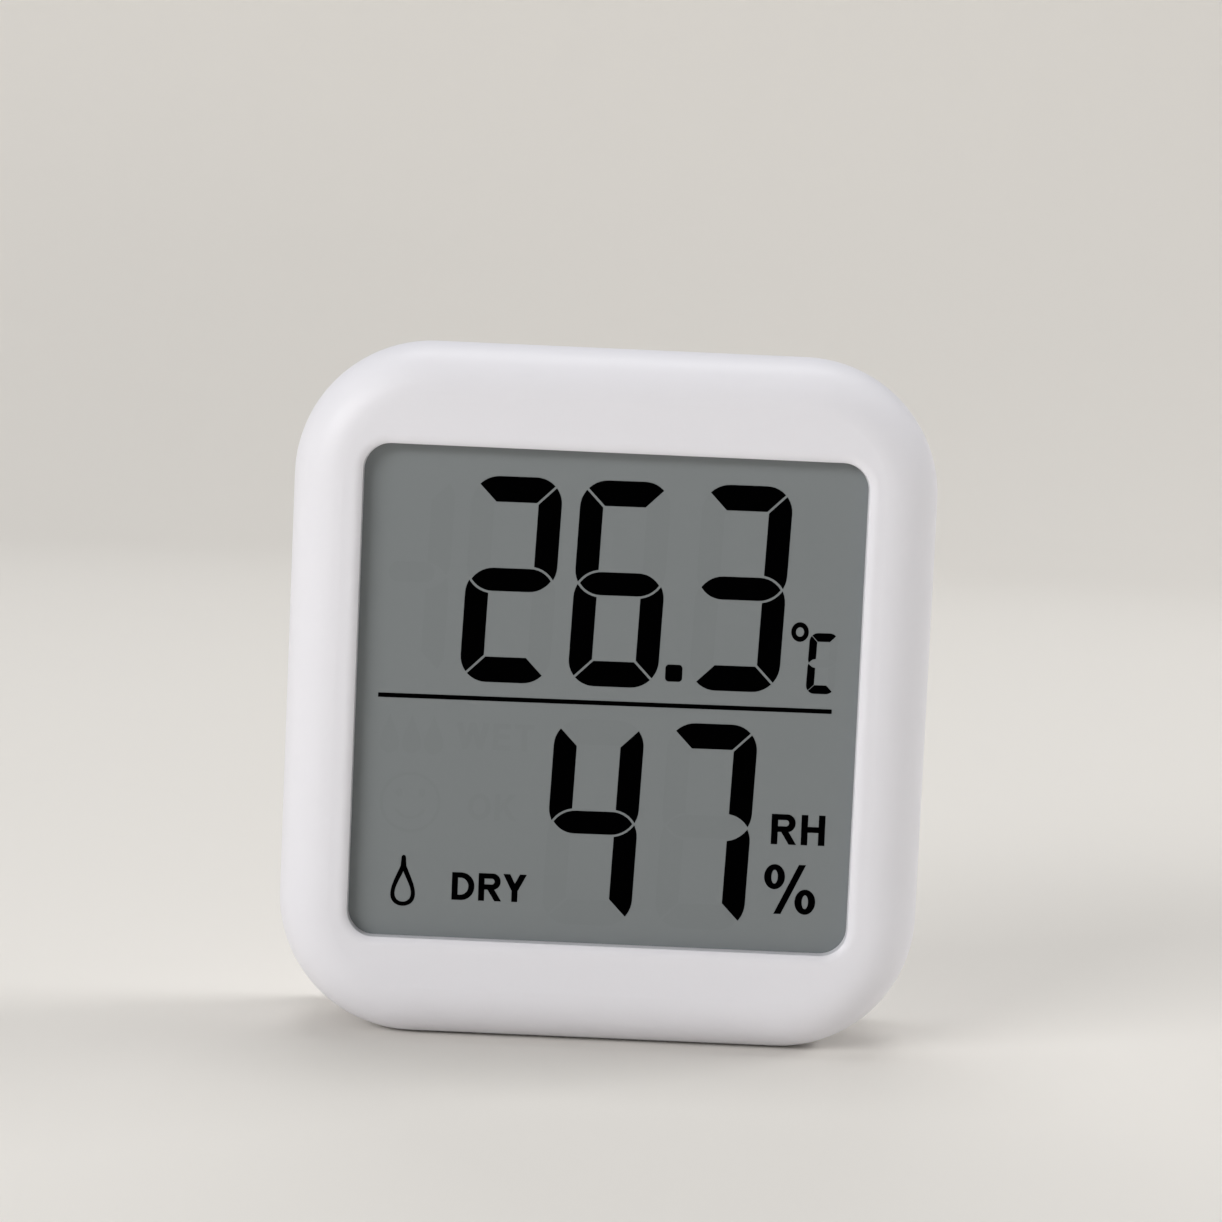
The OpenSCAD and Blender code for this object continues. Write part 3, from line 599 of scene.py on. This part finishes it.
# %% Write the figures
DIGIT = dict(width=8.34, bar=2.36, post=2.14, round_off=2.5, gap=0.22)
LIT = {"2": "abged", "6": "afgedc", "3": "abgcd", "4": "fgbc", "7": "abc", "C": "afed"}
eight = figure_eight(height=19.1, **DIGIT)
lower_eight = figure_eight(height=19.3, **DIGIT)
off_pieces = []


def copy_of(segment):
    """A copy of a segment with a mesh of its own."""
    copy = segment.copy()
    copy.data = segment.data.copy()
    scene.collection.objects.link(copy)
    return copy


def write_figure(master, figure, x, z):
    """Copy the segments of one figure to their place, and return the lit ones."""
    lit = []
    for letter, segment in master.items():
        if letter in LIT[figure]:
            lit.append(stand_up(copy_of(segment), x, z, INK, LEAN))
        else:
            off_pieces.append(stand_up(copy_of(segment), x, z, TRACE, LEAN))
    return lit


def write_number(master, places, name):
    """Several figures as one piece."""
    return join([piece for place in places for piece in write_figure(master, *place)], name)


# Each row: figure, and its middle x and z in millimetres.
UPPER = [("2", -9.33, 43.24), ("6", 0.69, 43.28), ("3", 11.93, 43.37)]
LOWER = [("4", -0.79, 20.96), ("7", 9.74, 21.04)]
temperature = write_number(eight, UPPER, "readout_temperature")
humidity = write_number(lower_eight, LOWER, "readout_humidity")
print("digits drawn, faces:", len(temperature.data.polygons) + len(humidity.data.polygons))

# %% [markdown]
# ## Letters from strokes
# The words on the display are plain bold capitals. A text object would bring a font of its own with other
# widths, so each letter is put together from upright, level, slanted and round strokes. A letter is one
# unit high, and a finished word is stretched to its size.

# %% Strokes
STEM = 0.22
BAR = 0.19
WIDE = 1.15 * STEM
BOWL_ROUND = 0.98
OPENING = (0.33, 0.67)


def slant(x_low, low, x_high, high, width=WIDE):
    """A slanted stroke with level ends."""
    stroke = plate(-width / 2, width / 2, low, high)
    slope = (x_high - x_low) / (high - low)
    stroke.data.transform(slanted(slope, x_low - slope * low))
    return stroke


def bowl(right, low, high):
    """A round belly that starts inside a stem at the left."""
    half = (high - low) / 2
    belly = plate(-half, right, low, high, BOWL_ROUND * half)
    hollow = plate(-half, right - STEM, low + BAR, high - BAR, BOWL_ROUND * (half - BAR), CUT)
    shape(belly, hollow)
    return shape(belly, plate(-1, STEM / 2, low - 1, high + 1, 0.0, CUT))


def open_ring(width):
    """A round letter that is open at the right."""
    letter = ring(width / 2, 0.5, width / 2, 0.5, STEM, BAR)
    return shape(letter, plate(0.55 * width, 1.5 * width, *OPENING, 0.0, CUT))


ALPHABET = {
    "C": [(open_ring, 0.86)],
    "D": [(plate, 0, STEM, 0, 1), (bowl, 0.83, 0, 1)],
    "E": [(plate, 0, STEM, 0, 1), (plate, 0, 0.72, 0, BAR), (plate, 0, 0.68, 0.42, 0.42 + BAR),
          (plate, 0, 0.71, 1 - BAR, 1)],
    "F": [(plate, 0, STEM, 0, 1), (plate, 0, 0.62, 0.41, 0.41 + BAR), (plate, 0, 0.68, 1 - BAR, 1)],
    "H": [(plate, 0, STEM, 0, 1), (plate, 0.8 - STEM, 0.8, 0, 1), (plate, 0, 0.8, 0.42, 0.42 + BAR)],
    "K": [(plate, 0, STEM, 0, 1), (slant, 0.16, 0.34, 0.74, 1), (slant, 0.78, 0, 0.36, 0.6)],
    "O": [(ring, 0.47, 0.5, 0.47, 0.5, STEM, BAR)],
    "R": [(plate, 0, STEM, 0, 1), (bowl, 0.81, 0.41, 1), (slant, 0.73, 0, 0.43, 0.46)],
    "T": [(plate, 0.29, 0.29 + STEM, 0, 1), (plate, 0, 0.785, 1 - BAR, 1)],
    "W": [(slant, 0.36, 0, 0.11, 1), (slant, 0.34, 0, 0.65, 1), (slant, 0.96, 0, 0.65, 1),
          (slant, 0.94, 0, 1.19, 1)],
    "Y": [(plate, 0.33 - STEM / 2, 0.33 + STEM / 2, 0, 0.45), (slant, 0.33, 0.42, 0.023, 1),
          (slant, 0.33, 0.42, 0.637, 1)],
    "/": [(slant, 0.08, -0.05, 0.4, 1.05, 0.15)],
    "°": [(ring, 0.2, 0.79, 0.2, 0.21, 0.1, 0.1)],
}


# %% Words
LETTER_GAP = 0.15


def letter_plate(letter):
    """One letter, with its strokes united."""
    strokes = [tool(*sizes) for tool, *sizes in ALPHABET[letter]]
    for stroke in strokes[1:]:
        shape(strokes[0], stroke, "UNION")
    return strokes[0]


def word(text, width, height):
    """A word of that size, with its middle at the origin."""
    letters = []
    edge = 0.0
    for letter in text:
        piece = letter_plate(letter)
        piece.data.transform(Matrix.Translation((edge, 0, 0)))
        edge = max(v.co.x for v in piece.data.vertices) + LETTER_GAP
        letters.append(piece)
    whole = join(letters, "word")
    across = [v.co.x for v in whole.data.vertices]
    upward = [v.co.y for v in whole.data.vertices]
    middle = Vector(((min(across) + max(across)) / 2, (min(upward) + max(upward)) / 2, 0))
    fit = Matrix.Diagonal((width / (max(across) - min(across)), height / (max(upward) - min(upward)), 1, 1))
    whole.data.transform(fit @ Matrix.Translation(-middle))
    return whole


RH_PLACE = (18.32, 21.13)
PERCENT_PLACE = (17.81, 15.5)
PERCENT_RING = (0.97, 1.18, 0.67, 0.53)
DRY_PLACE = (-10.19, 14.47)
percent_marks = [ring(1.46 * side, -1.15 * side, *PERCENT_RING) for side in (-1, 1)]
percent_marks.append(slant(-1.1, -2.34, 1.1, 2.34, 0.66))
percent = join(percent_marks, "percent")
units = [
    stand_up(word("RH", 5.0, 2.84), *RH_PLACE, INK),
    stand_up(percent, *PERCENT_PLACE, INK),
]
humidity_unit = join(units, "readout_humidity_unit")
dry = stand_up(word("DRY", 6.96, 2.6), *DRY_PLACE, INK)
print("words drawn, faces:", len(humidity_unit.data.polygons) + len(dry.data.polygons))

# %% [markdown]
# ## Signs
# Around the digits stand the point, the degree ring and a small C of the same seven segments, the line
# between the two readings, and a drop. The drop is a disc whose rim follows the formula of a teardrop, with
# a blunt tip, and a smaller drop is cut out of it.

# %% Point, degree ring, small letter and line
SMALL_C_PLACE = (19.76, 36.75)
DEGREE_PLACE = (17.58, 39.6)
POINT_PLACE = (6.08, 35.26)
POINT_HALF = 0.79
LINE_PLACE = (-0.16, 32.19)
LINE_REACH = 21.05
LINE_HALF = 0.21
small = figure_eight(width=2.64, height=5.66, bar=0.8, post=0.72, round_off=0.8, gap=0.06)
degree_marks = write_figure(small, "C", *SMALL_C_PLACE)
degree_marks.append(stand_up(ring(0, 0, 0.81, 0.91, 0.43, 0.47), *DEGREE_PLACE, INK))
point = plate(-POINT_HALF, POINT_HALF, -POINT_HALF, POINT_HALF, 0.35)
degree_marks.append(stand_up(point, *POINT_PLACE, INK))
degrees = join(degree_marks, "readout_degree_unit")
line = stand_up(plate(-LINE_REACH, LINE_REACH, -LINE_HALF, LINE_HALF, 0.06), *LINE_PLACE, INK)
line.name = "readout_line"


# %% The drop
DROP_STEPS = 72
DROP_STROKE = 0.39
DROP_HEIGHT = 4.8
DROP_PLACE = (-18.23, 14.77)


def drop_plate(half_width, low, high, neck, blunt=0.0, thick=PLATE):
    """A teardrop with its tip at the top. A higher neck value draws the flanks in."""
    deselect()
    bpy.ops.mesh.primitive_cylinder_add(vertices=DROP_STEPS, radius=1.0, depth=thick)
    piece = bpy.context.object
    widest = 2 * math.acos(1 / math.sqrt(2 + neck))
    belly = math.sin(widest) * math.sin(widest / 2) ** neck
    for vertex in piece.data.vertices:
        turn = math.atan2(vertex.co.x, vertex.co.y) % math.tau
        side = abs(math.sin(turn)) * math.sin(turn / 2) ** neck * half_width / belly
        depth = (high - low) * (1 - math.cos(turn)) / 2
        if depth < (high - low) / 2:
            round_tip = math.sqrt(blunt ** 2 - max(blunt - depth, 0) ** 2)
            side = max(side, round_tip * (1 + 0.5 * depth))
        vertex.co.x = math.copysign(side, vertex.co.x)
        vertex.co.y = high - depth
    return piece


hollow = drop_plate(0.76, DROP_STROKE - DROP_HEIGHT / 2, 0.9, 1.6, 0.0, CUT)
drop = shape(drop_plate(1.15, -DROP_HEIGHT / 2, DROP_HEIGHT / 2, 2.2, 0.18), hollow)
comfort = join([dry, stand_up(drop, *DROP_PLACE, INK)], "readout_comfort")
print("drop and word drawn, faces:", len(comfort.data.polygons))

# %% [markdown]
# ## Segments that are off
# An undriven segment isn't quite clear: it stands out from the film by a trace of grey. The off segments of
# the digits, a minus and a leading one, and the signs for the other comfort levels are drawn with this
# trace.

# %% Faint marks
ONE_PLACE = (-19.2, 43.27)
MINUS_PLACE = (-18.55, 43.6)
WET_PLACE = (-10.2, 28.6)
WET_DROPS = (-17.95, 28.6)
WET_DROP_STEP = 2.05
OK_PLACE = (-10.2, 22.0)
FACE_PLACE = (-17.85, 22.15)
FACE_LINE = 0.3


def trace(piece, x, z, lean=0.0):
    """Stand a plate up as the mark of a segment that is off."""
    off_pieces.append(stand_up(piece, x, z, TRACE, lean))


for letter in "bc":
    trace(copy_of(eight[letter]), *ONE_PLACE, LEAN)
trace(plate(-2.1, 2.1, -0.95, 0.95, 0.9), *MINUS_PLACE, LEAN)
trace(word("WET", 7.2, 2.5), *WET_PLACE)
trace(word("OK", 4.6, 2.5), *OK_PLACE)
for step in (-1, 0, 1):
    trace(drop_plate(0.9, -1.9, 1.9, 2.0), WET_DROPS[0] + WET_DROP_STEP * step, WET_DROPS[1])
mouth = shape(ring(0, 0, 1.6, 1.6, FACE_LINE, FACE_LINE), plate(-2, 2, -0.7, 2, 0.0, CUT))
face = ring(0, 0, 2.85, 2.85, FACE_LINE, FACE_LINE)
eyes = [oval(1.05 * side, 0.9, 0.32, 0.42) for side in (-1, 1)]
for sign in (face, *eyes, mouth):
    trace(sign, *FACE_PLACE)
faint = join(off_pieces, "readout_off_segments")
for master in (eight, lower_eight, small):
    for segment in master.values():
        bpy.data.objects.remove(segment)
print("faint marks drawn, faces:", len(faint.data.polygons))

# %% [markdown]
# ## Black and trace
# A driven segment lets almost no light through, so it is a deep black without gloss. A segment that is off
# has the grey of the film, a few percent darker. One material with a mask could do both, but the plates are
# pieces of their own, and each can have its own finish.

# %% Ink for the readout
ink = Finish("segment_black", specular_ior_level=0.0)
depth = ink.grain(0.2 * MM)
ink.feed("Base Color", ink.blend(depth, (0.0002, 0.0002, 0.0003), (0.0006, 0.0006, 0.0007)))
ink.feed("Roughness", 0.5 + 0.1 * depth)

off_grey = Finish("segment_off", specular_ior_level=0.2)
veil = off_grey.grain(0.12 * MM)
off_grey.feed("Base Color", off_grey.blend(veil, shade(FILM_GREY, 0.955), shade(FILM_GREY, 0.985)))
off_grey.feed("Roughness", 0.5 + 0.1 * veil)


def wear(piece, finish):
    """Give a new piece its finish, and let it move with the case."""
    piece.data.materials.clear()
    piece.data.materials.append(finish.material)
    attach(piece, "case")


for piece in (temperature, humidity, degrees, line, comfort, humidity_unit):
    wear(piece, ink)
wear(faint, off_grey)
print(ink.material.name, "and", off_grey.material.name, "on the readout")

# %% [markdown]
# ## A legend on the back
# Under the button stand the two units that it switches between, pad printed in grey. They are made of the
# same strokes as the words on the display, pressed thin and turned to face backwards.

# %% The printed legend
LEGEND_BELOW = 4.9
button_low, button_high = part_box("unit_button")
legend_x = (button_low.x + button_high.x) / 2
legend_z = (button_low.z + button_high.z) / 2 - LEGEND_BELOW * MM
legend = word("°C/°F", 7.0, 1.8)
legend.name = "button_legend"
facing_back = Matrix.Rotation(math.radians(180), 4, "Z") @ Matrix.Rotation(math.radians(90), 4, "X")
there = Matrix.Translation((legend_x, cad_high.y + PROUD * INK * MM, legend_z))
legend.data.transform(there @ facing_back @ Matrix.Diagonal((MM, MM, INK * MM, 1)))
legend_grey = moulded("legend_grey", (0.21, 0.215, 0.22), 0.5, 0.3 * MM, 0.002 * MM, 0.05)
wear(legend, legend_grey)
print("legend at", round(legend_x / MM, 1), round(legend_z / MM, 1))

# %% [markdown]
# ## The studio
# A white object needs a background that is a little darker than itself, and light that comes from one side.
# The floor is a wide dish whose rim curves up, so that no horizon shows from any side. A broad soft box at
# the left is the main light, as from a window. It stands a little in front, so that the left wall of the
# window shades the film. Weaker ones stand at the right and behind, outside the dish, so that none of them
# burns out the rim, and one hangs above. One more brightens the floor in front, which throws light back on
# the lower edge of the case. The boxes at the right and behind would draw hard white lines along the edges,
# so they are left out of reflections.

# %% Floor
FLOOR_RADIUS = 0.75
FLOOR_SIDES = 96
RIM = 0.32
RIM_STEPS = 14
deselect()
bpy.ops.mesh.primitive_circle_add(vertices=FLOOR_SIDES, radius=FLOOR_RADIUS, fill_type="NGON")
floor = bpy.context.object
floor.name = "studio_floor"
bpy.ops.object.mode_set(mode="EDIT")
bpy.ops.mesh.select_mode(type="EDGE")
bpy.ops.mesh.select_all(action="SELECT")
bpy.ops.mesh.region_to_loop()
for step in range(1, RIM_STEPS + 1):
    before = math.radians(90) * (step - 1) / RIM_STEPS
    after = math.radians(90) * step / RIM_STEPS
    rise = RIM * (math.cos(before) - math.cos(after))
    wide = (FLOOR_RADIUS + RIM * math.sin(after)) / (FLOOR_RADIUS + RIM * math.sin(before))
    bpy.ops.mesh.extrude_edges_move(TRANSFORM_OT_translate={"value": (0, 0, rise)})
    bpy.ops.transform.resize(value=(wide, wide, 1))
bpy.ops.mesh.select_all(action="SELECT")
bpy.ops.mesh.normals_make_consistent(inside=True)
bpy.ops.object.mode_set(mode="OBJECT")
bpy.ops.object.shade_smooth()
floor_finish = Finish("studio_floor", specular_ior_level=0.1, roughness=0.8)
cloud = floor_finish.grain(0.4)
floor_finish.feed("Base Color", floor_finish.blend(cloud, (0.79, 0.765, 0.725), (0.81, 0.785, 0.745)))
floor.data.materials.append(floor_finish.material)
print("floor drawn, faces:", len(floor.data.polygons))

# %% Lights
CASE_MIDDLE = (0, 0, 0.033)
ROOM_TONE = (0.99, 0.99, 1.0, 1.0)
ROOM_LEVEL = 0.15


def soft_box(name, place, wide, tall, power, target=CASE_MIDDLE):
    """A soft light that points at a place and doesn't show itself."""
    data = bpy.data.lights.new(name, "AREA")
    data.shape = "RECTANGLE"
    data.size = wide
    data.size_y = tall
    data.energy = power
    lamp = bpy.data.objects.new(name, data)
    scene.collection.objects.link(lamp)
    lamp.location = place
    aim = Vector(target) - lamp.location
    lamp.rotation_euler = aim.to_track_quat("-Z", "Y").to_euler()
    lamp.visible_camera = False
    return lamp


soft_box("left_box", (-0.95, -0.95, 0.6), 0.9, 0.5, 13.2)
soft_box("floor_box", (0.0, -0.45, 0.55), 0.6, 0.3, 0.14, (0.0, -0.2, 0.0))
soft_box("top_box", (0.0, 0.15, 1.15), 0.8, 0.4, 4.0)
right_box = soft_box("right_box", (1.3, 0.4, 0.75), 0.7, 0.5, 8.5)
back_box = soft_box("back_box", (-0.15, 1.6, 0.95), 1.2, 0.8, 7.5)
for lamp in (right_box, back_box):
    lamp.visible_glossy = False
world = bpy.data.worlds.new("soft_room")
scene.world = world
world.use_nodes = True
room = world.node_tree.nodes["Background"]
room.inputs["Color"].default_value = ROOM_TONE
room.inputs["Strength"].default_value = ROOM_LEVEL
scene.view_settings.view_transform = "Standard"
print("studio ready")
